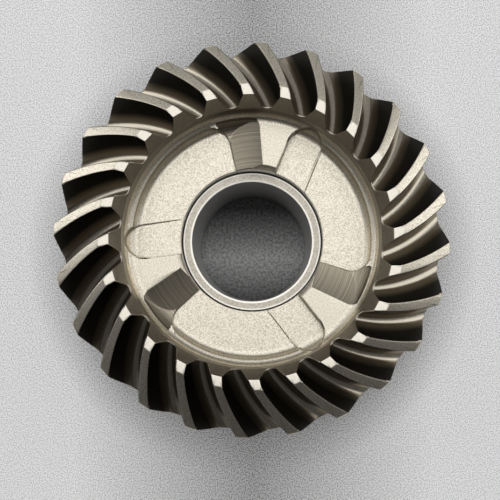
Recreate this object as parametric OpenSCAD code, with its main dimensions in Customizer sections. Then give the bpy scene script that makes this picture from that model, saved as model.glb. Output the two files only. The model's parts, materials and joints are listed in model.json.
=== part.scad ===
// Reverse gear of an outboard lower unit: a spiral bevel gear with dog clutch jaws in its dished face,
// a journal behind it for a ball bearing, and a plain bush in the bore for the propeller shaft.
// Millimetres. Z is the gear axis, Z = 0 is the hub's end face and the teeth look up (+Z).

/* [Teeth] */
// Teeth on the gear
teeth = 24; // [23:1:26]
// Teeth on the drive pinion it runs with, which set the pitch cone
pinion_teeth = 13; // [12:1:14]
// Transverse module at the outer end of the pitch cone
tooth_module = 3.25; // [3.1:0.05:3.4]
// Length of the teeth along the pitch cone
face_width = 13.87; // [12:0.01:15]
// Tip height above the pitch cone, at the outer end
addendum = 1.87; // [1.5:0.01:2.2]
// Root depth below the pitch cone, at the outer end
dedendum = 4.15; // [3.8:0.01:4.4]
// Width of a tooth space on the pitch cone, at the outer end
space_w = 6.4; // [5.6:0.1:6.6]
// Slope of the flanks across the tooth, in degrees
flank_angle = 24.3; // [20:0.1:25]
// Spiral angle at the middle of the teeth, in degrees
spiral_angle = 26.8; // [20:0.1:32]
// Radius of the cutter head that sweeps the tooth spaces
cutter_r = 47; // [40:0.5:70]
// Rounding in the corners of the tooth roots
root_round = 0.7; // [0.4:0.05:0.9]
// Height turned off the inner tips, which leaves a flat on each tooth
toe_trim = 0.77; // [0.4:0.01:1]
// Angle of the first tooth space at the outer end of the pitch cone, in degrees
tooth_turn = 5.6; // [0:0.1:15]

/* [Body] */
// Outside diameter
outside_d = 78.3; // [76:0.1:81]
// Distance from the thrust shoulder up to the apex of the pitch cone
mounting_distance = 32.9; // [32.5:0.1:35]
// Height of the rim under the tooth roots
rim_h = 2.7; // [2:0.1:2.9]
// Width of the bevel from the rim to the flat back
back_bevel_w = 3; // [1:0.1:5]
// Height of that bevel
back_bevel_h = 1.5; // [0.8:0.1:1.6]
// Thrust shoulder diameter
shoulder_d = 45; // [41:0.5:52]
// Chamfer on the thrust shoulder
shoulder_chamfer = 0.5; // [0.3:0.1:0.8]
// Rounding under the rim
rim_round = 0.6; // [0.3:0.1:1]
// Fillet between the thrust shoulder and the flat back
back_fillet = 1.2; // [0.6:0.1:1.3]
// Depth of the clutch face below the flats on the teeth
well_depth = 7.05; // [6.2:0.05:7.5]
// How far the well's wall lies inside the tooth roots
well_step = 0.18; // [0.1:0.02:0.5]
// Fillet between the clutch face and the well's wall
well_fillet = 1.75; // [1:0.05:2]

/* [Hub] */
// Bearing journal diameter
journal_d = 35; // [34:0.5:38]
// Bearing journal length
journal_l = 12.5; // [11:0.5:16]
// Chamfer on the end of the journal
journal_chamfer = 1; // [0.4:0.1:1.2]
// Depth of the grinding relief in the corner of journal and thrust shoulder
relief_depth = 0.4; // [0.2:0.05:0.6]
// Length of the relief along the journal
relief_l = 2; // [1.2:0.1:3]
// Width of the relief on the thrust shoulder
relief_w = 1; // [0.6:0.1:1.4]

/* [Bush] */
// Bore for the propeller shaft
bore_d = 25; // [22:0.5:26]
// Wall of the bush
bush_wall = 2; // [1.5:0.05:2.4]
// Chamfers on the bush
bush_chamfer = 0.25; // [0.15:0.05:0.5]
// How far the bush lies below the recess floors
bush_sink = 1.9; // [1:0.1:4]
// How far the bush stops short of the hub's end
bush_back = 1; // [0.5:0.1:4]
// Gap left all round between the bush and its seat
bush_fit = 0.01; // [0:0.005:0.03]

/* [Clutch jaws] */
// Number of jaws
jaws = 3; // [2:1:4]
// Depth of the recesses between the jaws
recess_depth = 2.3; // [1.6:0.1:3]
// Diameter of the end mill that cuts the recesses
mill_d = 6.9; // [5:0.1:7.5]
// Corner radius of the end mill
mill_corner = 1.3; // [0.6:0.1:1.6]
// How far the recesses run into the fillet of the clutch face
recess_overrun = 0.54; // [0.1:0.02:0.9]
// How far the last pass, along the driving face, runs on past the recess
pass_overrun = 1.06; // [0.5:0.02:1.4]
// Extra depth of that last pass
pass_step = 0.1; // [0.05:0.05:0.3]
// Direction of the first driving face, in degrees
jaw_turn = 67.7; // [0:0.1:120]
// Distance of the driving face from the line through the axis
face_offset = 0.74; // [0:0.02:1.5]
// Angle from the driving face to the start of the back ramp, at the bore
flat_angle = 13.9; // [10:0.1:18]
// Direction of the ramp's upper edge, from the driving face, in degrees
ramp_turn = 27; // [20:0.5:32]
// Slope of the back ramp, in degrees
ramp_slope = 18.4; // [15:0.1:20]
// Angle from the driving face to the foot of the back ramp
foot_angle = 35; // [33:0.1:40]
// How far the ramp runs into the fillet of the clutch face
ramp_overrun = 1.4; // [0.3:0.05:1.6]
// Chamfer on the inner edges of the jaws
jaw_chamfer = 0.8; // [0.4:0.1:1]

/* [Hidden] */
$fn = 96;
// Segments in a rounded corner of an outline
arc_steps = 6;
// Segments in the rounding of a tooth root
root_steps = 3;
// Spans along a tooth space
spans = 9;
// Overlap by which cutters pass what they cut
over = 1;
// Offset that keeps a cutter's walls from lying tangent to each other
clear = 0.04;
// Angle by which a ramp's cutter runs on into the recess
lap = 0.5;

pitch_angle = atan(teeth / pinion_teeth);
pitch_r = tooth_module * teeth / 2;
cone_outer = pitch_r / sin(pitch_angle);
cone_inner = cone_outer - face_width;
face_angle = pitch_angle + atan(addendum / cone_outer);
root_angle = pitch_angle - atan(dedendum / cone_outer);
apex_z = journal_l + mounting_distance;

// A point given by its distance from the apex and its height over the pitch cone
function on_cone(dist, h) = [
    dist * sin(pitch_angle) + h * cos(pitch_angle),
    apex_z - dist * cos(pitch_angle) + h * sin(pitch_angle)
];

outside_r = outside_d / 2;
heel_z = apex_z - outside_r / tan(face_angle);
rim_z = apex_z - outside_r / tan(root_angle) - rim_h;
back_z = rim_z - back_bevel_h;
toe_tip = on_cone(cone_inner, addendum * cone_inner / cone_outer);
toe_root = on_cone(cone_inner, -dedendum * cone_inner / cone_outer);
toe_z = toe_tip[1] - toe_trim;
well_r = toe_root[0] - well_step;
well_z = toe_root[1] - well_step * tan(pitch_angle);
clutch_z = toe_z - well_depth;
flat_r = well_r - well_fillet;
floor_z = clutch_z - recess_depth;
bush_r = bore_d / 2 + bush_wall;
seat_r = bush_r + bush_fit;
bush_z = floor_z - bush_sink;
recess_r = flat_r + recess_overrun;
mill_r = mill_d / 2;
far = outside_d;
top_z = toe_z + over;

// Points of an arc of radius q that rounds the corner b between a and c
function round_corner(a, b, c, q, steps = arc_steps) =
    let (
        u = (a - b) / norm(a - b),
        v = (c - b) / norm(c - b),
        half = acos(u * v) / 2,
        m = (u + v) / norm(u + v),
        centre = b + m * q / sin(half),
        from = b + u * q / tan(half) - centre,
        turn = sign(u[0] * v[1] - u[1] * v[0]) * -(180 - 2 * half)
    )
    [for (i = [0 : steps])
        let (t = turn * i / steps)
        centre + [from[0] * cos(t) - from[1] * sin(t), from[0] * sin(t) + from[1] * cos(t)]
    ];

// An outline of [x, y, rounding] corners as plain points
function outline(corners) =
    let (n = len(corners), p = [for (c = corners) [c[0], c[1]]])
    [for (i = [0 : n - 1])
        each corners[i][2] > 0
            ? round_corner(p[(i + n - 1) % n], p[i], p[(i + 1) % n], corners[i][2])
            : [p[i]]
    ];

// Angle of the tooth trace, a circular arc on the unrolled pitch cone, at a distance from the apex
cone_mean = cone_outer - face_width / 2;
arc_q2 = pow(cone_mean, 2) + pow(cutter_r, 2) - 2 * cone_mean * cutter_r * sin(spiral_angle);
function sweep(dist) = acos((dist * dist + arc_q2 - cutter_r * cutter_r) / (2 * dist * sqrt(arc_q2)));
function trace(dist) = (sweep(cone_outer) - sweep(dist)) / sin(pitch_angle);

// Half section of a tooth space at the outer end, as [half width, height over the pitch cone]
function space_half(h) = space_w / 2 + h * tan(flank_angle);
space_top = addendum + over;
space_side = round_corner(
    [0, -dedendum],
    [space_half(-dedendum), -dedendum],
    [space_half(space_top), space_top],
    root_round,
    root_steps
);
space_section = concat(
    [[-space_half(space_top), space_top]],
    [for (i = [root_steps : -1 : 0]) [-space_side[i][0], space_side[i][1]]],
    space_side,
    [[space_half(space_top), space_top]]
);

// A corner of a tooth space: the outer section drawn in towards the apex and turned with the trace
function space_point(s, dist) =
    let (
        k = dist / cone_outer,
        r = pitch_r + s[1] * cos(pitch_angle),
        a = trace(dist) + s[0] / r * 180 / PI,
        p = on_cone(dist, s[1] * k)
    )
    [p[0] * cos(a), p[0] * sin(a), p[1]];

// Solid of one tooth space, running out past both ends of the tooth
module tooth_space() {
    root_k = sin(pitch_angle) - dedendum / cone_outer * cos(pitch_angle);
    first = (well_r - over) / root_k;
    last = (outside_r + over) / root_k;
    n = len(space_section);
    points = [for (j = [0 : spans]) for (s = space_section) space_point(s, first + (last - first) * j / spans)];
    sides = [for (j = [0 : spans - 1]) for (i = [0 : n - 1])
        each [
            [j * n + i, (j + 1) * n + (i + 1) % n, j * n + (i + 1) % n],
            [j * n + i, (j + 1) * n + i, (j + 1) * n + (i + 1) % n]
        ]
    ];
    ends = [
        [for (i = [0 : n - 1]) i],
        [for (i = [n - 1 : -1 : 0]) spans * n + i]
    ];
    polyhedron(points, concat(sides, ends));
}

// Turned blank: journal, thrust shoulder, flat back, tooth cones and dished clutch face
module blank() {
    journal_r = journal_d / 2;
    shoulder_r = shoulder_d / 2;
    relief_z = journal_l - relief_l;
    relief_r = journal_r + relief_w;
    rotate_extrude(angle = 360)
        polygon(outline([
            [seat_r + bush_chamfer, 0, 0],
            [journal_r - journal_chamfer, 0, 0],
            [journal_r, journal_chamfer, 0],
            [journal_r, relief_z, 0],
            [journal_r - relief_depth, relief_z + relief_depth, 0],
            [journal_r - relief_depth, journal_l + relief_depth, 0],
            [relief_r - relief_depth, journal_l + relief_depth, 0],
            [relief_r, journal_l, 0],
            [shoulder_r - shoulder_chamfer, journal_l, 0],
            [shoulder_r, journal_l + shoulder_chamfer, 0],
            [shoulder_r, back_z, back_fillet],
            [outside_r - back_bevel_w, back_z, 0],
            [outside_r, rim_z, rim_round],
            [outside_r, heel_z, 0],
            [toe_tip[0] + toe_trim * tan(face_angle), toe_z, 0],
            [toe_tip[0] - toe_trim / tan(pitch_angle), toe_z, 0],
            [well_r, well_z, 0],
            [well_r, clutch_z, well_fillet],
            [seat_r + jaw_chamfer, clutch_z, 0],
            [seat_r, clutch_z - jaw_chamfer, 0],
            [seat_r, bush_chamfer, 0]
        ]));
}

// End mill with rounded corners, standing on its end at the origin
module end_mill(r, h) {
    rotate_extrude(angle = 360)
        difference() {
            square([r, h]);
            translate([r - mill_corner, 0])
                difference() {
                    square(mill_corner);
                    translate([0, mill_corner]) circle(mill_corner);
                }
        }
}

// Recess from the foot of one ramp round to the next driving face
module recess() {
    reach = recess_r - mill_r;
    foot = foot_angle + asin(mill_r / reach);
    stop = 360 / jaws - asin(mill_r / recess_r);
    height = top_z - floor_z;
    translate([0, 0, floor_z]) {
        rotate([0, 0, foot])
            rotate_extrude(angle = stop - foot)
                difference() {
                    translate([seat_r - over, 0]) square([recess_r - seat_r + over, height]);
                    translate([recess_r - mill_corner, 0])
                        difference() {
                            square(mill_corner);
                            translate([0, mill_corner]) circle(mill_corner);
                        }
                }
        rotate([0, 0, foot]) translate([reach - clear, 0, 0]) end_mill(mill_r - clear, height);
        linear_extrude(height)
            polygon([
                [0, 0],
                reach * cos(foot - foot_angle) * [cos(foot_angle), sin(foot_angle)],
                reach * [cos(foot), sin(foot)]
            ]);
    }
}

// Last pass of the end mill, straight out along the driving face
module driving_pass() {
    reach = recess_r + pass_overrun - mill_r;
    height = top_z - floor_z + pass_step;
    translate([0, face_offset - mill_r, floor_z - pass_step]) {
        translate([reach, 0, 0]) end_mill(mill_r - clear, height);
        rotate([90, 0, 90])
            linear_extrude(reach)
                difference() {
                    translate([-mill_r, 0]) square([mill_d, height]);
                    for (side = [-1, 1])
                        translate([side * (mill_r - mill_corner / 2), mill_corner / 2])
                            difference() {
                                square(mill_corner, center = true);
                                translate([-side * mill_corner / 2, mill_corner / 2]) circle(mill_corner);
                            }
                }
    }
}

// Ramp on the back of a jaw, down to the recess floor
module back_ramp() {
    start = (seat_r + jaw_chamfer) * [cos(flat_angle), sin(flat_angle)];
    end_angle = foot_angle + lap;
    intersection() {
        translate([0, 0, floor_z - over]) cylinder(r = flat_r + ramp_overrun, h = top_z - floor_z + over);
        translate([0, 0, floor_z - over])
            linear_extrude(top_z - floor_z + over)
                polygon([[0, 0], [far, 0], far * [cos(end_angle), sin(end_angle)]]);
        translate([start[0], start[1], clutch_z])
            rotate([0, 0, ramp_turn])
                rotate([-ramp_slope, 0, 0])
                    translate([-far, -far, 0]) cube([2 * far, 2 * far, far]);
    }
}

// Bevel gear, hub and clutch jaws, machined from one forging
module gear_body() {
    color([0.80, 0.77, 0.70])
        difference() {
            blank();
            for (i = [0 : teeth - 1])
                rotate([0, 0, tooth_turn + i * 360 / teeth]) tooth_space();
            for (i = [0 : jaws - 1])
                rotate([0, 0, jaw_turn + i * 360 / jaws]) {
                    back_ramp();
                    recess();
                    rotate([0, 0, 360 / jaws]) driving_pass();
                }
        }
}

// Plain bearing bush pressed into the hub
module bore_bush() {
    color([0.72, 0.71, 0.69])
        rotate_extrude(angle = 360)
            polygon([
                [bore_d / 2 + bush_chamfer, bush_back],
                [bush_r - bush_chamfer, bush_back],
                [bush_r, bush_back + bush_chamfer],
                [bush_r, bush_z - bush_chamfer],
                [bush_r - bush_chamfer, bush_z],
                [bore_d / 2 + bush_chamfer, bush_z],
                [bore_d / 2, bush_z - bush_chamfer],
                [bore_d / 2, bush_back + bush_chamfer]
            ]);
}

gear_body();
bore_bush();
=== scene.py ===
"""Reverse gear of an outboard lower unit, dressed over its CAD frame.

The gear body is a turned blank with the tooth spaces, the clutch recesses and the jaw ramps cut out of it.
The bush is a plain turned ring. Sizes are in metres, in the frame's own axes: Z is the gear axis and the
teeth look up.
"""
import json
import math

import bpy
from bpy.props import FloatProperty, FloatVectorProperty, IntProperty, PointerProperty
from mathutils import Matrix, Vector


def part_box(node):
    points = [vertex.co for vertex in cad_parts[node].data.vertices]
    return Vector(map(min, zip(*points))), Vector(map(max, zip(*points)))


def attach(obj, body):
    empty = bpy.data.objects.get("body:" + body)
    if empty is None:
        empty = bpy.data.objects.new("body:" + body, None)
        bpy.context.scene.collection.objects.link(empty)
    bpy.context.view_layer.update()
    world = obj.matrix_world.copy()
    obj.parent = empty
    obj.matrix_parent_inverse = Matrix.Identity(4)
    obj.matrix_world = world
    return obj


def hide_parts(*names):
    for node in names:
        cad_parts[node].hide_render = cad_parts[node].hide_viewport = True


bl_info = {
    "name": "Outboard Reverse Gear",
    "version": (1, 0, 0),
    "blender": (4, 5, 0),
    "location": "View3D > Sidebar > Reverse Gear",
    "description": "Models a spiral bevel reverse gear with dog clutch jaws, its bush and a plain stage",
    "category": "Add Mesh",
}

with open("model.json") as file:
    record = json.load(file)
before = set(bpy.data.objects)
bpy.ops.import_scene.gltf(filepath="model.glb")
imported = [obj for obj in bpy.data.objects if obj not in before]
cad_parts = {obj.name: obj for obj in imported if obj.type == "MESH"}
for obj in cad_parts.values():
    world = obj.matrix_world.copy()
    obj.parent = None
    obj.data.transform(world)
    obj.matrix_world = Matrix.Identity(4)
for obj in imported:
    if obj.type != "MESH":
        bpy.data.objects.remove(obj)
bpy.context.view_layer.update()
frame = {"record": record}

MM = 0.001
MOUNTS = {mount["name"]: mount for mount in frame["record"]["mounts"]}
GEAR_LOW, GEAR_HIGH = (Vector(corner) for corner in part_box("gear_body"))
BUSH_LOW, BUSH_HIGH = (Vector(corner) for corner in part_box("bore_bush"))
SHOULDER_Z = MOUNTS["thrust_shoulder"]["pos_m"][2]
BORE_R = MOUNTS["propeller_shaft_bore"]["dims"]["r_mm"] * MM
JOURNAL_R = MOUNTS["bearing_journal"]["dims"]["r_mm"] * MM

# How far cutters reach past what they cut.
CUT_OVER = 1 * MM

# How close points count as touching, as doubles, as slivers and as flat.
TOUCH = 0.001 * MM
DOUBLE_GAP = 0.002 * MM
SLIVER_GAP = 0.03 * MM
FLAT_GAP = 0.01 * MM

# The ramp cutter's outer foot lies within this of its outer radius, and at least this far under the toes.
FOOT_BAND = 0.1 * MM
FOOT_DROP = 3 * MM

# The cuts leave their points in another order each run, so they are sorted by distance from this place.
SORT_FROM = (0.061, 0.083, 0.127)

# Edges sharper than this are broken, and faces that meet at less than these are shaded as one.
BREAK_ANGLE = math.radians(22)
BODY_SMOOTH_ANGLE = math.radians(20)
BUSH_SMOOTH_ANGLE = math.radians(10)

# Segments in the rounds of the outlines and cutters.
ROUND_STEPS = 6
DISH_STEPS = 12
MILL_STEPS = 12
SWEEP_STEPS = 24
RECESS_STEPS = 36
BORE_STEPS = 16

# Finishes of the gear body, in the order of its material slots.
BLASTED, WALL, FLAT, GROUND = range(4)

# How far a surface faces up where one finish gives way to the next, from 0 on a wall to 1 on a floor.
FRONT_FACING = 0.7
# Upright faces up to this take painted shade in the blasted steel.
STEEP_SHADE_FACING = (0.0, 0.25)
# Faces of the tooth spaces that look up this far take the painted highlight along the roots.
ROOT_HIGHLIGHT_FACING = (0.805, 0.826)
BUSH_FACING = (0.975, 0.995)
# Bore, dark groove, and the bush's sloped inner edge with its painted highlight.
GROOVE_FACING = (0.15, 0.3, 0.8, 0.9)

# Height over the tooth roots at which the painted shade on the flanks is full, and the fade of the painted
# highlight on the bush's rim.
FLANK_SHADE_FADE = 3 * MM
RIM_HIGHLIGHT_FADE = 0.1 * MM

# Floor: its size, and the tones and places of the painted shade seen through the bore and of the painted
# shadow where the lift is held back round the gear, in gear radii.
FLOOR_SIZE = 4
BORE_SHADE_TONES = ((0.13, 0.3), (0.42, 0.84), (0.03, 0.1))
BORE_NEAR, BORE_MIDDLE, BORE_FAR = -0.28, -0.06, 0.25
BORE_EDGE = (0.4, 0.6)
LIFT_EDGE = (1.0, 1.4)
LIFT_WIDTH = 1.1
LIFT_MIDDLE = 0.1

# Lamps: name, azimuth and elevation in degrees, width and height in metres, and the setting of its radiance.
LAMP_REACH = 0.8
LAMPS = (
    ("overhead", 90, 80, 1.6, 0.85, "overhead"),
    ("far", 90, 42, 0.8, 0.36, "far"),
    ("left", 158, 17, 0.62, 0.42, "sides"),
    ("right", 17, 17, 0.66, 0.42, "sides"),
)

# Sky: where the pale band fades out on the near side, and above the horizon.
NEAR_FADE = (-0.7, 0.0)
BAND_FADE = (0.1, 0.3)


# Settings

def length(name, text, millimetres):
    """A length property, with its default given in millimetres."""
    return FloatProperty(name=name, description=text, default=millimetres * MM, unit="LENGTH", precision=5)


def angle(name, text, degrees):
    """An angle property, with its default given in degrees."""
    return FloatProperty(name=name, description=text, default=math.radians(degrees), subtype="ANGLE")


def colour(name, text, red, green, blue):
    """A colour property, in linear light."""
    return FloatVectorProperty(
        name=name, description=text, default=(red, green, blue), subtype="COLOR", min=0, max=1, size=3
    )


def number(name, text, value):
    """A plain number property."""
    return FloatProperty(name=name, description=text, default=value)


def count(name, text, value):
    """A whole number property."""
    return IntProperty(name=name, description=text, default=value)


class ToothSizes(bpy.types.PropertyGroup):
    """Teeth of the bevel gear."""
    teeth: count("Teeth", "Teeth on the gear", 24)
    pinion_teeth: count("Pinion teeth", "Teeth on the drive pinion", 13)
    module: length("Module", "Transverse module at the outer end of the pitch cone", 3.25)
    face_width: length("Face width", "Length of the teeth along the pitch cone", 13.87)
    addendum: length("Addendum", "Tip height above the pitch cone, at the outer end", 1.87)
    dedendum: length("Dedendum", "Root depth below the pitch cone, at the outer end", 4.15)
    space_w: length("Space width", "Width of a tooth space on the pitch cone, at the outer end", 6.4)
    flank_angle: angle("Flank angle", "Slope of the flanks across the tooth", 24.3)
    spiral_angle: angle("Spiral angle", "Spiral angle at the middle of the teeth", 26.8)
    cutter_r: length("Cutter radius", "Radius of the cutter head that sweeps the spaces", 47)
    root_round: length("Root rounding", "Rounding in the corners of the tooth roots", 1.9)
    tip_break: length("Tip break", "Edge broken along the tooth tips", 0.05)
    turn: angle("Turn", "Angle of the first space at the outer end of the pitch cone", 5.6)
    mounting_distance: length("Mounting distance", "Thrust shoulder to the apex of the pitch cone", 32.9)
    spans: count("Spans", "Spans along a tooth space", 28)


class BodySizes(bpy.types.PropertyGroup):
    """Turned blank of the gear."""
    segments: count("Segments", "Segments round the blank", 288)
    rim_h: length("Rim height", "Height of the rim under the tooth roots", 2.7)
    back_bevel_w: length("Back bevel width", "Width of the bevel from the rim to the flat back", 3)
    back_bevel_h: length("Back bevel height", "Height of that bevel", 1.5)
    shoulder_r: length("Shoulder radius", "Radius of the thrust shoulder", 22.5)
    shoulder_chamfer: length("Shoulder chamfer", "Chamfer on the thrust shoulder", 0.5)
    back_fillet: length("Back fillet", "Fillet between the thrust shoulder and the flat back", 1.2)
    rim_round: length("Rim rounding", "Rounding under the rim", 0.6)
    heel_round: length("Heel rounding", "Edge broken at the outer end of the tips", 0.45)
    well_step: length("Well step", "How far the well's wall lies inside the tooth roots", 0.18)
    well_round: length("Well rounding", "Edge broken at the top of the well's wall", 0.3)
    well_fillet: length("Well fillet", "Fillet between the clutch face and the well's wall", 1.75)
    journal_chamfer: length("Journal chamfer", "Chamfer on the end of the journal", 1)
    relief_depth: length("Relief depth", "Depth of the grinding relief", 0.4)
    relief_l: length("Relief length", "Length of the relief along the journal", 2)
    relief_w: length("Relief width", "Width of the relief on the thrust shoulder", 1)
    bush_chamfer: length("Bush chamfer", "Chamfers on the bush and on the mouth of its seat", 0.25)
    bush_groove_w: length("Bush groove width", "Width of the groove between the bush and its seat", 0.24)
    bush_groove_h: length("Bush groove depth", "Depth of that groove", 0.32)
    # These edges also set the width of the painted highlight on the bush's outer rim.
    bush_edge_w: length("Bush edge width", "Width of the worn edges on the bush's face", 0.35)
    bush_edge_h: length("Bush edge height", "Height of those edges", 0.087)
    bush_fit: length("Bush fit", "Gap round the bush", 0.01)


class ClutchSizes(bpy.types.PropertyGroup):
    """Dog clutch jaws in the well."""
    jaws: count("Jaws", "Jaws on the clutch face", 3)
    bush_sink: length("Bush sink", "How far the bush lies below the recess floors", 1.9)
    recess_depth: length("Recess depth", "Depth of the recesses between the jaws", 2.3)
    mill_r: length("Mill radius", "Radius of the end mill that cuts the recesses", 3.45)
    mill_corner: length("Mill corner", "Rounding between the recess floors and their outer wall", 1.6)
    pass_corner: length("Pass corner", "Rounding between the floor of the last pass and its end", 2.4)
    recess_overrun: length("Recess overrun", "How far the recesses run into the well's fillet", 0.54)
    pass_overrun: length("Pass overrun", "How far the last pass runs on past the recess", 1.06)
    pass_step: length("Pass step", "Extra depth of the last pass", 0.02)
    face_lean: length("Face lean", "How far the driving face leans back over its height", 0.35)
    turn: angle("Jaw turn", "Direction of the first driving face", 67.7)
    face_offset: length("Face offset", "Distance of the driving face from the line through the axis", 0.74)
    flat_angle: angle("Flat angle", "From the driving face to the start of the ramp, at the bore", 13.9)
    ramp_turn: angle("Ramp turn", "Direction of the ramp's upper edge, from the driving face", 27)
    ramp_slope: angle("Ramp slope", "Slope of the back ramp", 18.4)
    foot_angle: angle("Foot angle", "From the driving face to the foot of the ramp", 35)
    ramp_overrun: length("Ramp overrun", "How far the ramp runs into the well's fillet", 1.4)
    ramp_lap: angle("Ramp lap", "How far the ramp runs on past its foot, round the corner of the recess", 4.5)
    foot_step: length("Foot step", "Least height of the ramp over the recess floor", 0.25)
    ramp_corner: length("Ramp corner", "Rounding between the ramp and the well's wall", 1.6)
    ramp_bowl: length("Ramp bowl", "Rounding between the foot of the ramp and the well's wall", 4)
    jaw_chamfer: length("Jaw chamfer", "Chamfer on the inner edges of the jaws", 0.8)
    edge_break: length("Edge break", "Edges broken round the cuts", 0.2)


class FinishColours(bpy.types.PropertyGroup):
    """Colours of the finishes, in linear light."""
    blasted: colour("Blasted steel", "Clutch face, recess floors and tooth tips", 0.92, 0.86, 0.73)
    grain: colour("Blasting grain", "Darker grain in the blasted steel", 0.59, 0.53, 0.43)
    # Painted shade on upright walls of the blasted steel.
    steep_shade: colour("Steep wall", "Walls that the blast didn't reach", 0.30, 0.27, 0.22)
    flat: colour("Turned flat", "Bright flats on the inner tips", 0.82, 0.77, 0.67)
    # The flank tones are painted shade, near black high on the flanks and lighter at their foot.
    flank: colour("Tooth flank", "Dark cut flanks", 0.02, 0.017, 0.012)
    flank_foot_shade: colour("Flank foot", "Brown foot of the flanks", 0.30, 0.255, 0.19)
    # A painted highlight along the tooth roots.
    root: colour("Tooth root", "Bright line along the tooth roots", 0.66, 0.60, 0.49)
    ramp: colour("Milled ramp", "Milled ramps on the jaws", 0.30, 0.26, 0.20)
    ramp_streak: colour("Milling streak", "Light streaks across the ramps", 0.60, 0.54, 0.43)
    wall: colour("Turned wall", "Front cone of the well", 0.45, 0.40, 0.33)
    ground: colour("Ground steel", "Journal, shoulder and back", 0.62, 0.60, 0.56)
    bush: colour("Bush steel", "Turned face of the bush", 0.60, 0.555, 0.475)
    # A painted highlight on the bush's outer rim and sloped inner edge.
    bush_edge_highlight: colour("Bush edge", "Bright edges of the bush", 0.92, 0.88, 0.80)
    bush_groove: colour("Bush groove", "Dark groove round the bush", 0.08, 0.07, 0.055)
    bush_bore: colour("Bush bore", "Smooth wall of the bush's bore", 0.80, 0.79, 0.77)


class StageSettings(bpy.types.PropertyGroup):
    """Floor, lamps and camera."""
    floor: colour("Floor", "Pale plain floor", 0.62, 0.62, 0.62)
    floor_lift: number("Floor lift", "Light the camera sees on the floor", 0.38)
    sky: number("Sky", "Strength of the plain sky", 0.02)
    horizon: number("Horizon", "Strength of the sky above the horizon", 0.2)
    overhead: number("Overhead", "Radiance of the overhead panel", 1.16)
    far: number("Far", "Radiance of the panel beyond the gear", 1.0)
    sides: number("Sides", "Radiance of the low panels left and right", 1.5)
    photo_w: count("Width", "Width and height of the picture in pixels", 500)
    scale_px: number("Scale", "Pixels per millimetre at the bush's face", 4.815)
    camera_h: length("Camera height", "Height of the camera over the bush's face", 120)
    camera_x: length("Camera across", "Place of the camera across the axis", 1.66)
    camera_y: length("Camera along", "Place of the camera along the picture's height", -10.67)
    camera_tilt: angle("Camera tilt", "Tilt of the camera off straight down", 1.24)
    middle_u: number("Middle u", "Pixel column on the lens axis", 260.0)
    middle_v: number("Middle v", "Pixel row on the lens axis", 280.3)


# Levels and outlines

class GearForm:
    """Levels and radii of the gear, worked out from the driving sizes."""

    def __init__(self, scene):
        teeth, body, clutch = scene.gear_teeth, scene.gear_body, scene.gear_clutch
        self.teeth, self.body, self.clutch = teeth, body, clutch
        self.pitch_angle = math.atan(teeth.teeth / teeth.pinion_teeth)
        self.pitch_r = teeth.module * teeth.teeth / 2
        self.cone_outer = self.pitch_r / math.sin(self.pitch_angle)
        self.cone_inner = self.cone_outer - teeth.face_width
        self.face_angle = self.pitch_angle + math.atan(teeth.addendum / self.cone_outer)
        self.root_angle = self.pitch_angle - math.atan(teeth.dedendum / self.cone_outer)
        self.apex_z = SHOULDER_Z + teeth.mounting_distance
        self.outside_r = (GEAR_HIGH.x - GEAR_LOW.x) / 2
        self.heel_z = self.apex_z - self.outside_r / math.tan(self.face_angle)
        self.rim_z = self.apex_z - self.outside_r / math.tan(self.root_angle) - body.rim_h
        self.back_z = self.rim_z - body.back_bevel_h
        self.toe_z = GEAR_HIGH.z
        toe_root = self.on_cone(self.cone_inner, -teeth.dedendum * self.cone_inner / self.cone_outer)
        self.well_r = toe_root.x - body.well_step
        self.well_z = toe_root.y - body.well_step * math.tan(self.pitch_angle)
        self.floor_z = BUSH_HIGH.z + clutch.bush_sink
        self.clutch_z = self.floor_z + clutch.recess_depth
        self.flat_r = self.well_r - body.well_fillet
        self.recess_r = self.flat_r + clutch.recess_overrun
        self.bush_r = (BUSH_HIGH.x - BUSH_LOW.x) / 2
        self.seat_r = self.bush_r + body.bush_fit
        self.top_z = self.toe_z + CUT_OVER

    def on_cone(self, dist, height):
        """Radius and level of a point, from its distance to the apex and its height over the pitch cone."""
        sine, cosine = math.sin(self.pitch_angle), math.cos(self.pitch_angle)
        return Vector((dist * sine + height * cosine, self.apex_z - dist * cosine + height * sine))

    def trace(self, dist):
        """Angle of the tooth trace, a circular arc on the unrolled pitch cone."""
        teeth = self.teeth
        mean = self.cone_outer - teeth.face_width / 2
        square = mean ** 2 + teeth.cutter_r ** 2 - 2 * mean * teeth.cutter_r * math.sin(teeth.spiral_angle)

        def sweep(reach):
            return math.acos((reach * reach + square - teeth.cutter_r ** 2) / (2 * reach * math.sqrt(square)))

        return (sweep(self.cone_outer) - sweep(dist)) / math.sin(self.pitch_angle)


def polar(radius, turn, level=0.0):
    """A point at a radius and an angle round the axis."""
    return Vector((radius * math.cos(turn), radius * math.sin(turn), level))


def rounded(corners, steps=ROUND_STEPS):
    """Points of a closed outline of (x, y, rounding) corners, with arcs in the rounded ones."""
    points = []
    for i, (x, y, rounding) in enumerate(corners):
        corner = Vector((x, y))
        if not rounding:
            points.append(corner)
            continue
        before = (Vector(corners[i - 1][:2]) - corner).normalized()
        after = (Vector(corners[(i + 1) % len(corners)][:2]) - corner).normalized()
        half = before.angle(after) / 2
        centre = corner + (before + after).normalized() * rounding / math.sin(half)
        start = corner + before * rounding / math.tan(half) - centre
        way = 1 if before.x * after.y - before.y * after.x < 0 else -1
        swing = way * (math.pi - 2 * half)
        for step in range(steps + 1):
            turn = swing * step / steps
            turned = Vector((
                start.x * math.cos(turn) - start.y * math.sin(turn),
                start.x * math.sin(turn) + start.y * math.cos(turn),
            ))
            points.append(centre + turned)
    return points


# Modelling steps

def pick(piece):
    """Selects one object alone and makes it the active one."""
    bpy.ops.object.select_all(action="DESELECT")
    bpy.context.view_layer.objects.active = piece
    piece.select_set(True)


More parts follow.
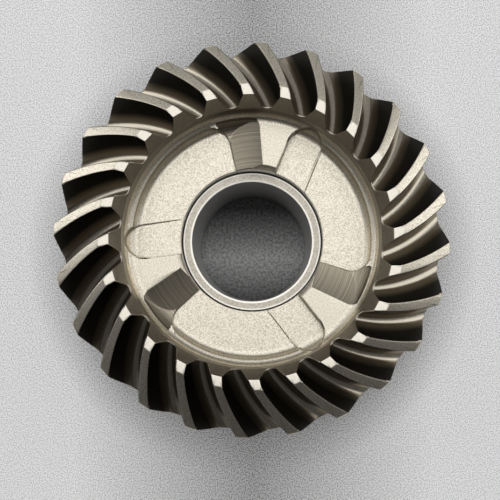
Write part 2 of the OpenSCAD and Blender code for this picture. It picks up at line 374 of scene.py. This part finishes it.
def start_piece(name):
    """Adds an object of one vertex at the origin and leaves it in edit mode."""
    bpy.ops.object.select_all(action="DESELECT")
    bpy.ops.mesh.primitive_plane_add(size=MM, location=(0, 0, 0))
    piece = bpy.context.object
    piece.name = name
    piece.data.name = name
    bpy.ops.object.mode_set(mode="EDIT")
    bpy.ops.mesh.merge(type="CENTER")
    return piece


def draw(points):
    """Moves the one vertex to the first point and extrudes it on through the others."""
    bpy.ops.transform.translate(value=points[0])
    for here, there in zip(points, points[1:]):
        bpy.ops.mesh.extrude_vertices_move(TRANSFORM_OT_translate={"value": there - here})


def merge_doubles():
    """Merges the whole mesh's doubled vertices and turns its faces outwards."""
    bpy.ops.mesh.select_all(action="SELECT")
    bpy.ops.mesh.remove_doubles(threshold=DOUBLE_GAP)
    bpy.ops.mesh.normals_make_consistent(inside=False)


def turned_piece(name, outline, segments):
    """A ring turned from a closed outline of radius and level."""
    piece = start_piece(name)
    profile = [Vector((p.x, 0, p.y)) for p in outline]
    draw(profile + profile[:1])
    bpy.ops.mesh.select_all(action="SELECT")
    bpy.ops.mesh.spin(steps=segments, angle=2 * math.pi, center=(0, 0, 0), axis=(0, 0, 1))
    merge_doubles()
    bpy.ops.object.mode_set(mode="OBJECT")
    return piece


def repeat_round(copies):
    """Copies the mesh being edited round the gear axis."""
    bpy.ops.mesh.select_all(action="SELECT")
    bpy.ops.mesh.spin(
        steps=copies - 1,
        dupli=True,
        angle=2 * math.pi * (copies - 1) / copies,
        center=(0, 0, 0),
        axis=(0, 0, 1),
    )
    bpy.ops.mesh.select_all(action="SELECT")
    bpy.ops.mesh.normals_make_consistent(inside=False)


def turn_round(turn):
    """Turns what is selected about the gear axis."""
    bpy.ops.transform.rotate(value=-turn, orient_axis="Z", center_override=(0, 0, 0))


def prism(name, outline, height):
    """A cutter that stands on a closed outline of points, left in edit mode."""
    piece = start_piece(name)
    draw(outline)
    bpy.ops.mesh.select_all(action="SELECT")
    bpy.ops.mesh.edge_face_add()
    bpy.ops.mesh.extrude_region_move(TRANSFORM_OT_translate={"value": (0, 0, height)})
    merge_doubles()
    return piece


# Cutters

def tooth_spaces(form):
    """Cutter with the solids of all tooth spaces."""
    teeth = form.teeth
    slope = math.tan(teeth.flank_angle)

    def half_width(height):
        return teeth.space_w / 2 + height * slope

    shoulder = teeth.addendum - teeth.tip_break
    top = teeth.addendum + CUT_OVER
    flare = half_width(shoulder) + 2 * teeth.tip_break
    section = rounded([
        (-flare, top, 0),
        (-flare, shoulder + 2 * teeth.tip_break, 0),
        (-half_width(shoulder), shoulder, 0),
        (-half_width(-teeth.dedendum), -teeth.dedendum, teeth.root_round),
        (half_width(-teeth.dedendum), -teeth.dedendum, teeth.root_round),
        (half_width(shoulder), shoulder, 0),
        (flare, shoulder + 2 * teeth.tip_break, 0),
        (flare, top, 0),
    ])
    root_k = math.sin(form.root_angle) / math.cos(form.pitch_angle - form.root_angle)
    first = (form.well_r - CUT_OVER) / root_k
    last = (form.outside_r + CUT_OVER) / root_k
    outer = []
    for point in section:
        scale = last / form.cone_outer
        place = form.on_cone(last, point.y * scale)
        turn = point.x / (form.pitch_r + point.y * math.cos(form.pitch_angle))
        outer.append(polar(place.x, turn + form.trace(last) + teeth.turn, place.y))
    cutter = start_piece("tooth_spaces")
    draw(outer)
    bpy.ops.mesh.select_all(action="SELECT")
    bpy.ops.mesh.edge_face_add()
    apex = (0, 0, form.apex_z)
    stations = [last + (first - last) * i / teeth.spans for i in range(teeth.spans + 1)]
    for here, there in zip(stations, stations[1:]):
        bpy.ops.mesh.extrude_region_move()
        bpy.ops.transform.resize(value=(there / here,) * 3, center_override=apex)
        turn_round(form.trace(there) - form.trace(here))
    repeat_round(teeth.teeth)
    bpy.ops.object.mode_set(mode="OBJECT")
    return cutter


def arc(centre, radius, start, stop, steps, level):
    """Points of an arc about a centre, from one angle to another."""
    turns = [start + (stop - start) * i / steps for i in range(steps + 1)]
    return [Vector((centre.x, centre.y, 0)) + polar(radius, turn, level) for turn in turns]


def choose_edges(chosen):
    """Selects the edges of a cutter whose ends are both chosen."""
    mesh = bpy.context.object.data
    bpy.ops.mesh.select_all(action="DESELECT")
    bpy.ops.object.mode_set(mode="OBJECT")
    for edge in mesh.edges:
        edge.select = all(chosen(mesh.vertices[end].co) for end in edge.vertices)
    bpy.ops.object.mode_set(mode="EDIT")
    bpy.ops.mesh.select_mode(type="EDGE")


def dish(cutter, form, outer, lowest, rounding):
    """Gives a cutter a level floor that rises in a round to an outer wall, and leaves it in edit mode."""
    bpy.ops.object.mode_set(mode="OBJECT")
    inner = form.seat_r - 2 * CUT_OVER
    top = form.top_z + CUT_OVER
    corners = [(inner, lowest, 0), (outer, lowest, rounding), (outer, top, 0), (inner, top, 0)]
    ring = turned_piece(cutter.name + "_dish", rounded(corners, DISH_STEPS), form.body.segments)
    cut(cutter, ring, "INTERSECT")
    pick(cutter)
    bpy.ops.object.mode_set(mode="EDIT")
    bpy.ops.mesh.select_all(action="SELECT")


def set_at_jaws(cutter, clutch):
    """Turns a cutter to the first jaw, copies it to the others and leaves edit mode."""
    turn_round(clutch.turn)
    repeat_round(clutch.jaws)
    bpy.ops.object.mode_set(mode="OBJECT")
    return cutter


def recesses(form):
    """Cutter for the recesses, from the foot of each ramp round to the next driving face."""
    clutch = form.clutch
    reach = form.recess_r - clutch.mill_r
    foot = clutch.foot_angle + math.asin(clutch.mill_r / reach)
    pitch = 2 * math.pi / clutch.jaws
    stop = pitch - math.asin(clutch.mill_r / form.recess_r)
    inner = form.seat_r - CUT_OVER
    level = form.floor_z - CUT_OVER
    outline = [polar(inner, stop, level)]
    outline += arc(Vector((0, 0)), form.recess_r + CUT_OVER, stop, foot, RECESS_STEPS, level)
    corner = polar(reach, foot)
    outline += arc(corner, clutch.mill_r, foot, clutch.foot_angle - math.pi / 2, MILL_STEPS, level)
    outline += arc(Vector((0, 0)), inner, clutch.foot_angle, stop, BORE_STEPS, level)[:-1]
    cutter = prism("recess_cutter", outline, form.top_z - level)
    dish(cutter, form, form.recess_r, form.floor_z, clutch.mill_corner)
    return set_at_jaws(cutter, clutch)


def driving_passes(form):
    """Cutter for the last pass straight out along each driving face."""
    clutch = form.clutch
    reach = form.recess_r + clutch.pass_overrun - clutch.mill_r
    level = form.floor_z - clutch.pass_step
    middle = clutch.face_offset - clutch.mill_r
    start = form.seat_r - CUT_OVER - clutch.mill_r
    outline = [Vector((start, middle - clutch.mill_r, level))]
    end = Vector((reach, middle))
    outline += arc(end, clutch.mill_r, -math.pi / 2, math.pi / 2, SWEEP_STEPS, level)
    outline += [Vector((start, clutch.face_offset, level))]
    cutter = prism("pass_cutter", outline, form.top_z - level)
    choose_edges(lambda p: p.z > form.top_z - TOUCH and p.y > clutch.face_offset - TOUCH)
    bpy.ops.transform.translate(value=(0, clutch.face_lean, 0))
    bpy.ops.mesh.select_mode(type="VERT")
    outer = reach + clutch.mill_r + clutch.edge_break
    dish(cutter, form, outer, level - clutch.pass_step, clutch.pass_corner)
    return set_at_jaws(cutter, clutch)


def back_ramps(form):
    """Cutter for the ramp on the back of each jaw."""
    clutch = form.clutch
    start = polar(form.seat_r + clutch.jaw_chamfer, clutch.flat_angle)
    down = polar(1, clutch.ramp_turn + math.pi / 2)
    fall = math.tan(clutch.ramp_slope)

    def on_ramp(point):
        return Vector((point.x, point.y, form.clutch_z - (point - start).dot(down) * fall))

    inner = form.seat_r - CUT_OVER
    outer = form.flat_r + clutch.ramp_overrun
    stop = clutch.foot_angle + clutch.ramp_lap
    axis = Vector((0, 0))
    plan = arc(axis, outer, 0, stop, SWEEP_STEPS, 0) + arc(axis, inner, stop, 0, MILL_STEPS, 0)
    cutter = prism("ramp_cutter", [on_ramp(point) for point in plan], form.top_z - form.floor_z)
    choose_edges(lambda p: p.z < form.toe_z - FOOT_DROP and p.xy.length > outer - FOOT_BAND)
    bpy.ops.mesh.bevel(
        offset=clutch.ramp_corner, segments=ROUND_STEPS, affect="EDGES", clamp_overlap=False
    )
    bpy.ops.mesh.select_mode(type="VERT")
    dish(cutter, form, outer, form.floor_z + clutch.foot_step, clutch.ramp_bowl)
    return set_at_jaws(cutter, clutch)


# Cutting and edges

def cut(piece, cutter, operation="DIFFERENCE"):
    """Cuts one object with another and deletes the cutter."""
    pick(piece)
    boolean = piece.modifiers.new(cutter.name, "BOOLEAN")
    boolean.operation = operation
    boolean.solver = "EXACT"
    boolean.material_mode = "TRANSFER"
    boolean.object = cutter
    bpy.ops.object.modifier_apply(modifier=boolean.name)
    pick(cutter)
    bpy.ops.object.delete()


def break_edges(piece, width):
    """Merges slivers left by the cuts, in a fixed order, and breaks the sharp edges."""
    pick(piece)
    cursor = bpy.context.scene.cursor
    cursor.location = SORT_FROM
    bpy.ops.object.mode_set(mode="EDIT")
    bpy.ops.mesh.select_all(action="SELECT")
    bpy.ops.mesh.sort_elements(type="CURSOR_DISTANCE", elements={"VERT", "EDGE", "FACE"})
    cursor.location = (0, 0, 0)
    bpy.ops.mesh.remove_doubles(threshold=SLIVER_GAP)
    bpy.ops.mesh.dissolve_degenerate(threshold=FLAT_GAP)
    bpy.ops.object.mode_set(mode="OBJECT")
    bevel = piece.modifiers.new("edge_break", "BEVEL")
    bevel.width = width
    bevel.segments = 2
    bevel.limit_method = "ANGLE"
    bevel.angle_limit = BREAK_ANGLE
    bevel.use_clamp_overlap = False
    bpy.ops.object.modifier_apply(modifier=bevel.name)


def shade(piece):
    """Shades a piece smooth between its edges."""
    pick(piece)
    bpy.ops.object.shade_smooth_by_angle(angle=BODY_SMOOTH_ANGLE)
    weighted = piece.modifiers.new("weighted", "WEIGHTED_NORMAL")
    weighted.mode = "FACE_AREA"
    weighted.weight = 50
    weighted.keep_sharp = True
    bpy.ops.object.modifier_apply(modifier=weighted.name)


def blank_outline(form):
    """Closed outline of the gear's blank, as radius and level."""
    body, clutch = form.body, form.clutch
    relief_z = SHOULDER_Z - body.relief_l
    relief_r = JOURNAL_R + body.relief_w
    toe_outer = (form.apex_z - form.toe_z) * math.tan(form.face_angle)
    toe_inner = form.well_r + (form.toe_z - form.well_z) / math.tan(form.pitch_angle)
    return rounded([
        (form.seat_r + body.bush_chamfer, 0, 0),
        (JOURNAL_R - body.journal_chamfer, 0, 0),
        (JOURNAL_R, body.journal_chamfer, 0),
        (JOURNAL_R, relief_z, 0),
        (JOURNAL_R - body.relief_depth, relief_z + body.relief_depth, 0),
        (JOURNAL_R - body.relief_depth, SHOULDER_Z + body.relief_depth, 0),
        (relief_r - body.relief_depth, SHOULDER_Z + body.relief_depth, 0),
        (relief_r, SHOULDER_Z, 0),
        (body.shoulder_r - body.shoulder_chamfer, SHOULDER_Z, 0),
        (body.shoulder_r, SHOULDER_Z + body.shoulder_chamfer, 0),
        (body.shoulder_r, form.back_z, body.back_fillet),
        (form.outside_r - body.back_bevel_w, form.back_z, body.rim_round),
        (form.outside_r, form.rim_z, body.rim_round),
        (form.outside_r, form.heel_z, body.heel_round),
        (toe_outer, form.toe_z, 0),
        (toe_inner, form.toe_z, 0),
        (form.well_r, form.well_z, body.well_round),
        (form.well_r, form.clutch_z, body.well_fillet),
        (form.seat_r + clutch.jaw_chamfer, form.clutch_z, 0),
        (form.seat_r, form.clutch_z - clutch.jaw_chamfer, 0),
        (form.seat_r, body.bush_chamfer, 0),
    ])


# Finishes

class Finish:
    """A node material, built up one node at a time."""

    def __init__(self, name, roughness, metallic=1.0):
        self.material = bpy.data.materials.new(name)
        self.material.use_nodes = True
        self.nodes = self.material.node_tree.nodes
        self.links = self.material.node_tree.links
        self.shader = self.nodes["Principled BSDF"]
        self.shader.inputs["Metallic"].default_value = metallic
        self.shader.inputs["Roughness"].default_value = roughness
        self.place = self.add("ShaderNodeTexCoord").outputs["Object"]

    def add(self, kind, **settings):
        """Adds a node with its settings."""
        node = self.nodes.new(kind)
        for key, value in settings.items():
            setattr(node, key, value)
        return node

    def join(self, out, into):
        """Links an output to an input."""
        self.links.new(out, into)

    def noise(self, grain_size, detail=2.0):
        """Noise with a grain of the given size in metres."""
        node = self.add("ShaderNodeTexNoise")
        node.inputs["Scale"].default_value = 1 / grain_size
        node.inputs["Detail"].default_value = detail
        self.join(self.place, node.inputs["Vector"])
        return node.outputs["Fac"]

    def radius(self):
        """Distance from the gear axis."""
        flat = self.add("ShaderNodeVectorMath", operation="MULTIPLY")
        flat.inputs[1].default_value = (1, 1, 0)
        self.join(self.place, flat.inputs[0])
        node = self.add("ShaderNodeVectorMath", operation="LENGTH")
        self.join(flat.outputs["Vector"], node.inputs[0])
        return node.outputs["Value"]

    def along(self, axis):
        """Place along an axis of the object."""
        split = self.add("ShaderNodeSeparateXYZ")
        self.join(self.place, split.inputs[0])
        return split.outputs[axis]

    def over_root(self, form):
        """Height over the root cone of the teeth, with 0 at the roots and 1 where the painted shade on the
        flanks is full.
        """
        both = self.add("ShaderNodeCombineXYZ")
        self.join(self.radius(), both.inputs["X"])
        self.join(self.along("Z"), both.inputs["Y"])
        height = self.add("ShaderNodeVectorMath", operation="DOT_PRODUCT")
        height.inputs[1].default_value = (math.cos(form.root_angle), math.sin(form.root_angle), 0)
        self.join(both.outputs["Vector"], height.inputs[0])
        root = form.apex_z * math.sin(form.root_angle)
        return self.span(height.outputs["Value"], root, root + FLANK_SHADE_FADE)

    def rings(self, spacing):
        """Irregular rings about the gear axis, of the given spacing in metres."""
        node = self.add("ShaderNodeTexNoise", noise_dimensions="1D")
        node.inputs["Scale"].default_value = 1 / spacing
        node.inputs["Detail"].default_value = 2.0
        self.join(self.radius(), node.inputs["W"])
        return node.outputs["Fac"]

    def blend(self, factor, *stops):
        """Colour that runs through stops of position and tone as a factor rises."""
        node = self.add("ShaderNodeValToRGB")
        while len(node.color_ramp.elements) < len(stops):
            node.color_ramp.elements.new(0.5)
        for element, (position, tone) in zip(node.color_ramp.elements, stops):
            element.position = position
            element.color = (*tone, 1)
        self.join(factor, node.inputs["Fac"])
        return node.outputs["Color"]

    def grained(self, grain, dark, light, start=0.35, stop=0.65):
        """Colour that runs from a dark to a light tone as a grain rises."""
        return self.blend(grain, (start, dark), (stop, light))

    def mix(self, factor, low, high):
        """Colour between two others, by a factor."""
        node = self.add("ShaderNodeMix", data_type="RGBA")
        self.join(factor, node.inputs["Factor"])
        self.join(low, node.inputs["A"])
        self.join(high, node.inputs["B"])
        return node.outputs["Result"]

    def span(self, factor, start, stop, low=0.0, high=1.0):
        """Value that runs from low to high as a factor goes from start to stop."""
        node = self.add("ShaderNodeMapRange")
        node.inputs["From Min"].default_value = start
        node.inputs["From Max"].default_value = stop
        node.inputs["To Min"].default_value = low
        node.inputs["To Max"].default_value = high
        self.join(factor, node.inputs["Value"])
        return node.outputs["Result"]

    def combine(self, operation, *factors):
        """Value worked out of others."""
        node = self.add("ShaderNodeMath", operation=operation)
        for factor, socket in zip(factors, node.inputs):
            self.join(factor, socket)
        return node.outputs["Value"]

    def tint(self, out):
        """Takes a colour as the base colour."""
        self.join(out, self.shader.inputs["Base Color"])

    def gloss(self, factor, low, high, start=0.3, stop=0.7):
        """Lets the roughness go from low to high as a factor goes from start to stop."""
        self.join(self.span(factor, start, stop, low, high), self.shader.inputs["Roughness"])

    def bump(self, factor, depth):
        """Raises the surface by a factor times a depth in metres."""
        node = self.add("ShaderNodeBump")
        node.inputs["Strength"].default_value = 1
        node.inputs["Distance"].default_value = depth
        self.join(factor, node.inputs["Height"])
        self.join(node.outputs["Normal"], self.shader.inputs["Normal"])

    def upward(self):
        """How far the surface faces up, from 0 to 1."""
        split = self.add("ShaderNodeSeparateXYZ")
        self.join(self.add("ShaderNodeNewGeometry").outputs["Normal"], split.inputs[0])
        return split.outputs["Z"]

    def facing(self, start, stop):
        """Value that runs from 0 to 1 as the surface faces up from start to stop."""
        return self.span(self.upward(), start, stop)


def scaled(tone, factor):
    """The parts of a tone, or other numbers, times a factor."""
    return [factor * part for part in tone]


def blasted_steel(colours):
    """Fine blasted steel, bright on faces that look up, with brownish painted shade on upright walls."""
    finish = Finish("blasted_steel", roughness=0.4)
    grain = finish.noise(grain_size=0.2 * MM)
    bright = finish.grained(grain, colours.grain, colours.blasted, start=0.36, stop=0.58)
    wall_shade = finish.grained(grain, scaled(colours.steep_shade, 0.8), colours.steep_shade, start=0.3, stop=0.6)
    # Painted shade: upright walls turn brownish.
    finish.tint(finish.mix(finish.facing(*STEEP_SHADE_FACING), wall_shade, bright))
    finish.gloss(grain, low=0.45, high=0.33)
    finish.bump(grain, depth=0.02 * MM)
    return finish.material


def flank_steel(colours, form):
    """Cut steel of the tooth spaces, painted in shade from near black up the flanks to brownish at their
    foot, with a painted highlight along the root.
    """
    finish = Finish("flank_steel", roughness=0.36)
    # Painted shade, near black high on the flanks and brownish at their foot.
    flank = finish.blend(finish.over_root(form), (0.1, colours.flank_foot_shade), (0.8, colours.flank))
    grain = finish.noise(grain_size=0.4 * MM)
    root = finish.grained(grain, scaled(colours.root, 0.85), colours.root)
    # Painted highlight along the roots, on faces that look up.
    finish.tint(finish.mix(finish.facing(*ROOT_HIGHLIGHT_FACING), flank, root))
    finish.gloss(grain, low=0.32, high=0.42)
    finish.bump(grain, depth=0.006 * MM)
    return finish.material


def ramp_steel(colours, form):
    """Milled steel of the ramps, streaked round the gear axis, with painted shade that deepens up towards the
    top of the jaw.
    """
    finish = Finish("ramp_steel", roughness=0.4)
    streak = finish.rings(spacing=0.3 * MM)
    light = finish.grained(streak, colours.ramp, colours.ramp_streak, start=0.2, stop=0.8)
    # Painted shade, deepest at the top of the ramp.
    upper = scaled(colours.ramp, 0.4), scaled(colours.ramp_streak, 0.5)
    dark = finish.grained(streak, *upper, start=0.2, stop=0.8)
    finish.tint(finish.mix(finish.span(finish.along("Z"), form.floor_z, form.clutch_z), light, dark))
    finish.bump(finish.noise(grain_size=0.3 * MM), depth=0.03 * MM)
    return finish.material


def flat_steel(colours):
    """Bright turned steel of the flats on the inner tips."""
    finish = Finish("flat_steel", roughness=0.3)
    grain = finish.noise(grain_size=0.3 * MM)
    finish.tint(finish.grained(grain, scaled(colours.flat, 0.9), colours.flat))
    finish.bump(grain, depth=0.006 * MM)
    return finish.material


def wall_steel(colours):
    """Turned steel of the well's front cone."""
    finish = Finish("wall_steel", roughness=0.32)
    grain = finish.noise(grain_size=0.5 * MM)
    finish.tint(finish.grained(grain, scaled(colours.wall, 0.85), colours.wall))
    finish.bump(grain, depth=0.008 * MM)
    return finish.material


def ground_steel(colours):
    """Ground steel of the journal and the back."""
    finish = Finish("ground_steel", roughness=0.32)
    grain = finish.noise(grain_size=0.6 * MM, detail=3)
    finish.tint(finish.grained(grain, scaled(colours.ground, 0.85), colours.ground))
    finish.gloss(grain, low=0.26, high=0.38)
    finish.bump(grain, depth=0.004 * MM)
    return finish.material


def bush_steel(colours, form):
    """Turned steel of the bush, with a painted highlight on its outer rim and sloped inner edge, a dark
    groove round it and a smooth bore.
    """
    finish = Finish("bush_steel", roughness=0.34)
    grain = finish.noise(grain_size=0.3 * MM)
    face = finish.grained(grain, scaled(colours.bush, 0.7), colours.bush)
    bright = finish.grained(grain, scaled(colours.bush_edge_highlight, 0.9), colours.bush_edge_highlight)
    # Painted highlight on the outer rim of the face.
    rim = form.bush_r - form.body.bush_groove_w - form.body.bush_edge_w
    face = finish.mix(finish.span(finish.radius(), rim, rim + RIM_HIGHLIGHT_FADE), face, bright)
    # Painted highlight on the sloped inner edge; the groove keeps its own dark tone.
    tones = (colours.bush_bore, colours.bush_groove, colours.bush_groove, colours.bush_edge_highlight)
    sides = finish.blend(finish.upward(), *zip(GROOVE_FACING, tones))
    finish.tint(finish.mix(finish.facing(*BUSH_FACING), sides, face))
    finish.gloss(grain, low=0.4, high=0.3)
    finish.bump(grain, depth=0.01 * MM)
    return finish.material


def floor_paint(stage, gear_r):
    """Pale matt floor, with painted shade under the bore and painted shadow where the lift for camera and
    reflections is held back round the gear.
    """
    finish = Finish("floor_paint", roughness=0.9, metallic=0.0)
    grain = finish.noise(grain_size=0.28 * MM)
    plain = finish.grained(grain, scaled(stage.floor, 0.2), stage.floor, start=0.40, stop=0.56)
    mottle = finish.noise(grain_size=0.6 * MM, detail=3)
    # Painted shade on the floor under the bore, darkest on the far side and lightest across the middle.
    near, middle, far = (
        finish.grained(mottle, scaled(stage.floor, dark), scaled(stage.floor, light))
        for dark, light in BORE_SHADE_TONES
    )
    along = finish.along("Y")
    under = finish.mix(finish.span(along, BORE_NEAR * gear_r, BORE_MIDDLE * gear_r), near, middle)
    under = finish.mix(finish.span(along, BORE_MIDDLE * gear_r, BORE_FAR * gear_r), under, far)
    radius = finish.radius()
    finish.tint(finish.mix(finish.span(radius, *scaled(BORE_EDGE, gear_r)), under, plain))
    # Painted shadow: the lift is held back near the gear and in a band above and below it.
    across = finish.combine("ABSOLUTE", finish.along("X"))
    sides = finish.span(across, 0, LIFT_WIDTH * gear_r, LIFT_MIDDLE, 1)
    outside = finish.span(radius, *scaled(LIFT_EDGE, gear_r), 0, stage.floor_lift)
    path = finish.add("ShaderNodeLightPath").outputs
    seen = finish.combine("MAXIMUM", path["Is Camera Ray"], path["Is Glossy Ray"])
    seen = finish.combine("MAXIMUM", seen, path["Is Transmission Ray"])
    lift = finish.combine("MULTIPLY", seen, finish.combine("MULTIPLY", sides, outside))
    finish.shader.inputs["Emission Color"].default_value = (1, 1, 1, 1)
    finish.join(lift, finish.shader.inputs["Emission Strength"])
    return finish.material


# Pieces

def finish_turned_faces(body, form):
    """Gives the front cone, the toe flats and the back of the blank their own finishes, by their place."""
    for face in body.data.polygons:
        level = face.center.z
        radius = face.center.xy.length
        beside_teeth = form.well_z < level < form.toe_z and radius > form.well_r
        if beside_teeth and face.normal.z < FRONT_FACING:
            face.material_index = WALL if radius < form.outside_r - MM else BLASTED
        elif level > form.toe_z - FLAT_GAP:
            face.material_index = FLAT
        elif level < form.rim_z:
            face.material_index = GROUND


class GEAR_OT_body(bpy.types.Operator):
    """Turn the gear's blank and cut its teeth, recesses and ramps"""
    bl_idname = "object.reverse_gear_body"
    bl_label = "Gear body"

    def execute(self, context):
        form = GearForm(context.scene)
        colours = context.scene.gear_colours
        blasted = blasted_steel(colours)
        body = turned_piece("gear_steel_body", blank_outline(form), form.body.segments)
        for finish in (blasted, wall_steel(colours), flat_steel(colours), ground_steel(colours)):
            body.data.materials.append(finish)
        finish_turned_faces(body, form)
        cutters = (
            (tooth_spaces(form), flank_steel(colours, form)),
            (back_ramps(form), ramp_steel(colours, form)),
            (recesses(form), blasted),
            (driving_passes(form), blasted),
        )
        for cutter, finish in cutters:
            cutter.data.materials.clear()
            cutter.data.materials.append(finish)
            cut(body, cutter)
        break_edges(body, form.clutch.edge_break)
        shade(body)
        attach(body, "root")
        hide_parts("gear_body")
        return {"FINISHED"}


class GEAR_OT_bush(bpy.types.Operator):
    """Turn the plain bush in the bore"""
    bl_idname = "object.reverse_gear_bush"
    bl_label = "Bore bush"

    def execute(self, context):
        form = GearForm(context.scene)
        chamfer = form.body.bush_chamfer
        edge_w, edge_h = form.body.bush_edge_w, form.body.bush_edge_h
        outline = rounded([
            (BORE_R + chamfer, BUSH_LOW.z, 0),
            (form.bush_r - chamfer, BUSH_LOW.z, 0),
            (form.bush_r, BUSH_LOW.z + chamfer, 0),
            (form.bush_r, BUSH_HIGH.z - form.body.bush_groove_h, 0),
            (form.bush_r - form.body.bush_groove_w, BUSH_HIGH.z, 0),
            (BORE_R + edge_w, BUSH_HIGH.z, 0),
            (BORE_R, BUSH_HIGH.z - edge_h, 0),
            (BORE_R, BUSH_LOW.z + chamfer, 0),
        ])
        bush = turned_piece("bush_ring", outline, form.body.segments)
        bush.data.materials.append(bush_steel(context.scene.gear_colours, form))
        bpy.ops.object.shade_smooth_by_angle(angle=BUSH_SMOOTH_ANGLE)
        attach(bush, "root")
        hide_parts("bore_bush")
        return {"FINISHED"}


# Stage

def panel_lamp(name, azimuth, elevation, width, height, radiance):
    """A soft panel of a given radiance, aimed at the gear from a direction in degrees."""
    flat = LAMP_REACH * math.cos(math.radians(elevation))
    place = polar(flat, math.radians(azimuth), LAMP_REACH * math.sin(math.radians(elevation)))
    bpy.ops.object.select_all(action="DESELECT")
    bpy.ops.object.light_add(type="AREA", location=place)
    lamp = bpy.context.object
    lamp.name = name
    lamp.data.shape = "RECTANGLE"
    lamp.data.size = width
    lamp.data.size_y = height
    lamp.data.energy = radiance * math.pi * width * height
    lamp.rotation_euler = (-place).to_track_quat("-Z", "Y").to_euler()
    lamp.visible_camera = False


def plain_sky(scene, stage):
    """Dim sky, with a pale band over the horizon on all sides but the near one."""
    world = bpy.data.worlds.new("plain_sky")
    world.use_nodes = True
    nodes, links = world.node_tree.nodes, world.node_tree.links
    split = nodes.new("ShaderNodeSeparateXYZ")
    links.new(nodes.new("ShaderNodeTexCoord").outputs["Generated"], split.inputs[0])
    band = nodes.new("ShaderNodeMapRange")
    band.inputs["From Min"].default_value, band.inputs["From Max"].default_value = NEAR_FADE
    band.inputs["To Min"].default_value = stage.sky
    band.inputs["To Max"].default_value = stage.horizon
    links.new(split.outputs["Y"], band.inputs["Value"])
    fall = nodes.new("ShaderNodeMapRange")
    fall.inputs["From Min"].default_value, fall.inputs["From Max"].default_value = BAND_FADE
    fall.inputs["To Max"].default_value = stage.sky
    links.new(split.outputs["Z"], fall.inputs["Value"])
    links.new(band.outputs["Result"], fall.inputs["To Min"])
    background = nodes["Background"]
    background.inputs["Color"].default_value = (1, 1, 1, 1)
    links.new(fall.outputs["Result"], background.inputs["Strength"])
    scene.world = world


class GEAR_OT_stage(bpy.types.Operator):
    """Lay the floor, hang the lamps and set the camera"""
    bl_idname = "object.reverse_gear_stage"
    bl_label = "Stage"

    def execute(self, context):
        stage = context.scene.gear_stage
        bpy.ops.object.select_all(action="DESELECT")
        bpy.ops.mesh.primitive_plane_add(size=FLOOR_SIZE, location=(0, 0, 0))
        floor = context.object
        floor.name = "floor"
        floor.data.materials.append(floor_paint(stage, GEAR_HIGH.x))
        for *lamp, radiance in LAMPS:
            panel_lamp(*lamp, getattr(stage, radiance))
        plain_sky(context.scene, stage)
        context.scene.view_settings.view_transform = "Standard"
        self.set_camera(context, stage)
        return {"FINISHED"}

    def set_camera(self, context, stage):
        """Sets the camera almost straight over the bore, where the photograph was taken from."""
        bpy.ops.object.camera_add(
            location=(stage.camera_x, stage.camera_y, BUSH_HIGH.z + stage.camera_h),
            rotation=(stage.camera_tilt, 0, 0),
        )
        camera = context.object
        camera.name = "camera"
        focal_px = stage.scale_px * stage.camera_h / MM
        camera.data.lens = camera.data.sensor_width * focal_px / stage.photo_w
        camera.data.shift_x = 0.5 - stage.middle_u / stage.photo_w
        camera.data.shift_y = stage.middle_v / stage.photo_w - 0.5
        camera.data.clip_start = MM
        context.scene.camera = camera


# Panel and registration

class GEAR_PT_panel(bpy.types.Panel):
    """Sizes, colours and pieces of the reverse gear"""
    bl_idname = "GEAR_PT_panel"
    bl_label = "Reverse Gear"
    bl_space_type = "VIEW_3D"
    bl_region_type = "UI"
    bl_category = "Reverse Gear"

    def draw(self, context):
        layout = self.layout
        for settings in SETTINGS:
            box = layout.box()
            group = getattr(context.scene, settings)
            for key in group.__annotations__:
                box.prop(group, key)
        for operator in (GEAR_OT_body, GEAR_OT_bush, GEAR_OT_stage):
            layout.operator(operator.bl_idname)


SETTINGS = {
    "gear_teeth": ToothSizes,
    "gear_body": BodySizes,
    "gear_clutch": ClutchSizes,
    "gear_colours": FinishColours,
    "gear_stage": StageSettings,
}
CLASSES = (*SETTINGS.values(), GEAR_OT_body, GEAR_OT_bush, GEAR_OT_stage, GEAR_PT_panel)


def register():
    """Registers the classes and their settings."""
    for cls in CLASSES:
        bpy.utils.register_class(cls)
    for name, group in SETTINGS.items():
        setattr(bpy.types.Scene, name, PointerProperty(type=group))


def unregister():
    """Takes the settings and the classes away again."""
    for name in SETTINGS:
        delattr(bpy.types.Scene, name)
    for cls in reversed(CLASSES):
        bpy.utils.unregister_class(cls)


def main():
    """Builds the pieces and the stage."""
    register()
    bpy.ops.object.reverse_gear_body()
    bpy.ops.object.reverse_gear_bush()
    bpy.ops.object.reverse_gear_stage()


if __name__ == "__main__":
    main()
